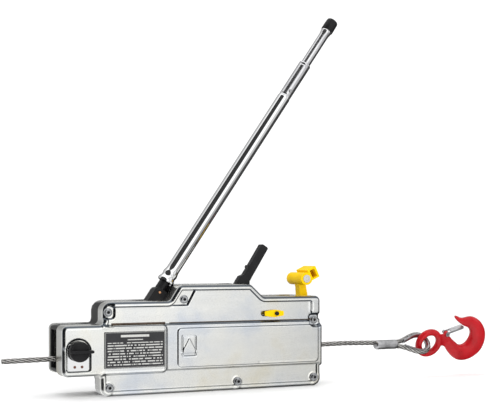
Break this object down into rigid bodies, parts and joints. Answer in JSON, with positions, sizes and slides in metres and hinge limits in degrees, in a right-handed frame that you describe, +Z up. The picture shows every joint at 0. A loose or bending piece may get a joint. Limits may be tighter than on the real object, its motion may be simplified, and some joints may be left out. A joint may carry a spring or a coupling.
{
  "type": "come along winch",
  "caption": "Lever-operated wire-rope puller: pressed-steel casing, telescopic handle, release lever, straight-through rope and eye hook with latch.",
  "frame": {"origin": "on the base face, under the middle of the casing and on the rope's line", "axes": "+X along the rope towards the hook, +Z up, the front with knob and label faces -Y"},
  "size_m": [1.2203, 0.1553, 0.8633],
  "materials": {
    "zinc_plate": "bright zinc plate with a rolled, polished rim",
    "black_steel": "satin black paint",
    "bare_steel": "machined steel",
    "chrome": "polished chrome",
    "black_plastic": "satin black plastic",
    "yellow_plastic": "moulded yellow plastic",
    "grey_plastic": "moulded grey plastic",
    "rope_steel": "stranded galvanised wire",
    "red_paint": "gloss red paint",
    "copper": "copper-coloured pin",
    "label_black": "black anodised plate",
    "spring_steel": "spring steel"
  },
  "bodies": {
    "casing": {"front_shell": "zinc_plate", "rear_shell": "zinc_plate", "inner_frame": "black_steel", "casing_bolt_1": "bare_steel", "casing_bolt_2": "bare_steel", "casing_bolt_3": "bare_steel", "casing_bolt_4": "bare_steel", "casing_bolt_5": "bare_steel", "casing_bolt_6": "bare_steel", "label_plate": "label_black", "keeper_plate": "chrome", "keeper_rivet_1": "copper", "keeper_rivet_2": "copper", "side_plate_front": "bare_steel", "side_plate_rear": "bare_steel", "forward_pivot_shaft": "bare_steel", "reverse_pivot_shaft": "bare_steel", "release_shaft": "bare_steel", "release_spring": "spring_steel", "rope_guide_inlet": "bare_steel", "rope_guide_outlet": "bare_steel"},
    "forward_lever_unit": {"forward_lever": "black_steel", "shear_pin": "copper"},
    "reverse_lever_unit": {"reverse_lever": "black_steel"},
    "right_jaw_unit": {"upper_link": "bare_steel", "jaw_cage_right": "bare_steel", "link_pin_right": "bare_steel", "upper_jaw_right": "bare_steel", "leaf_spring_right": "spring_steel"},
    "left_jaw_unit": {"lower_link": "bare_steel", "jaw_cage_left": "bare_steel", "link_pin_left": "bare_steel", "upper_jaw_left": "bare_steel", "leaf_spring_left": "spring_steel"},
    "right_lower_jaw": {"lower_jaw_right": "bare_steel"},
    "left_lower_jaw": {"lower_jaw_left": "bare_steel"},
    "handle_outer": {"handle_outer_tube": "chrome", "handle_collar": "chrome"},
    "handle_inner": {"handle_inner_tube": "chrome", "handle_cap": "black_plastic"},
    "handle_catch": {"handle_button": "bare_steel"},
    "release_lever_unit": {"release_lever": "yellow_plastic"},
    "release_catch": {"release_button": "grey_plastic"},
    "indicator_unit": {"release_indicator": "yellow_plastic", "indicator_screw": "black_steel"},
    "anchor_pin_unit": {"anchor_pin": "bare_steel"},
    "anchor_knob_unit": {"anchor_knob": "black_plastic"},
    "rope_unit": {"rope_tail": "rope_steel", "rope_core": "rope_steel", "rope_lead": "rope_steel", "ferrule": "bare_steel", "rope_eye": "rope_steel", "thimble": "bare_steel"},
    "hook_unit": {"hook": "red_paint"},
    "latch_unit": {"hook_latch": "bare_steel", "latch_pin": "bare_steel", "latch_spring": "spring_steel"}
  },
  "joints": [
    {"name": "forward_lever_swing", "type": "hinge", "parent": "casing", "child": "forward_lever_unit", "pos_m": [-0.1246, 0, 0.13], "axis": [0, 1, 0], "range_deg": [-67, 0]},
    {"name": "reverse_lever_swing", "type": "hinge", "parent": "casing", "child": "reverse_lever_unit", "pos_m": [0.072, 0, 0.13], "axis": [0, 1, 0], "range_deg": [-67, 0]},
    {"name": "right_jaw_slide", "type": "slide", "parent": "casing", "child": "right_jaw_unit", "axis": [0.9999, 0, 0.0145], "range_m": [-0.0265, 0]},
    {"name": "left_jaw_slide", "type": "slide", "parent": "casing", "child": "left_jaw_unit", "axis": [0.9999, 0, 0.0145], "range_m": [0, 0.0265]},
    {"name": "right_jaw_open", "type": "slide", "parent": "right_jaw_unit", "child": "right_lower_jaw", "axis": [0, 0, 1], "range_m": [-0.003, 0]},
    {"name": "left_jaw_open", "type": "slide", "parent": "left_jaw_unit", "child": "left_lower_jaw", "axis": [0, 0, 1], "range_m": [-0.003, 0]},
    {"name": "handle_lift_off", "type": "slide", "parent": "forward_lever_unit", "child": "handle_outer", "axis": [0.5664, 0, 0.8241], "range_m": [0, 0.075]},
    {"name": "handle_extend", "type": "slide", "parent": "handle_outer", "child": "handle_inner", "axis": [0.5664, 0, 0.8241], "range_m": [-0.085, 0.38]},
    {"name": "handle_button_press", "type": "slide", "parent": "handle_outer", "child": "handle_catch", "axis": [0, 1, 0], "range_m": [0, 0.002], "stiffness_N_per_m": 1500},
    {"name": "release_lever_swing", "type": "hinge", "parent": "casing", "child": "release_lever_unit", "pos_m": [0.284, 0, 0.176], "axis": [0, 1, 0], "range_deg": [-26, 0]},
    {"name": "release_button_press", "type": "slide", "parent": "release_lever_unit", "child": "release_catch", "axis": [0, 1, 0], "range_m": [0, 0.0025], "stiffness_N_per_m": 1200},
    {"name": "indicator_slide", "type": "slide", "parent": "casing", "child": "indicator_unit", "axis": [1, 0, 0], "range_m": [-0.015, 0]},
    {"name": "anchor_pin_slide", "type": "slide", "parent": "casing", "child": "anchor_pin_unit", "axis": [0, -1, 0], "range_m": [0, 0.11]},
    {"name": "anchor_knob_turn", "type": "hinge", "parent": "anchor_pin_unit", "child": "anchor_knob_unit", "pos_m": [-0.2635, -0.0668, 0.0985], "axis": [0, 1, 0], "range_deg": [0, 90]},
    {"name": "rope_feed", "type": "slide", "parent": "casing", "child": "rope_unit", "axis": [0.9999, 0, 0.0145], "range_m": [-0.09, 0.09]},
    {"name": "hook_swing", "type": "hinge", "parent": "rope_unit", "child": "hook_unit", "pos_m": [0.646, 0, 0.082], "axis": [0, 0.9272, 0.3746], "range_deg": [-30, 20]},
    {"name": "latch_open", "type": "hinge", "parent": "hook_unit", "child": "latch_unit", "pos_m": [0.6925, -0.00907, 0.10444], "axis": [0, 0.9272, 0.3746], "range_deg": [0, 32], "stiffness_Nm_per_rad": 0.15, "springref_deg": -17.19}
  ],
  "couplings": [
    {"joint": "reverse_lever_swing", "follows": "forward_lever_swing", "ratio": 1},
    {"joint": "right_jaw_slide", "follows": "forward_lever_swing", "m_per_rad": 0.02265},
    {"joint": "left_jaw_slide", "follows": "forward_lever_swing", "m_per_rad": -0.02265},
    {"joint": "right_jaw_open", "follows": "release_lever_swing", "m_per_rad": 0.0066},
    {"joint": "left_jaw_open", "follows": "release_lever_swing", "m_per_rad": 0.0066},
    {"joint": "indicator_slide", "follows": "release_lever_swing", "m_per_rad": 0.033}
  ]
}
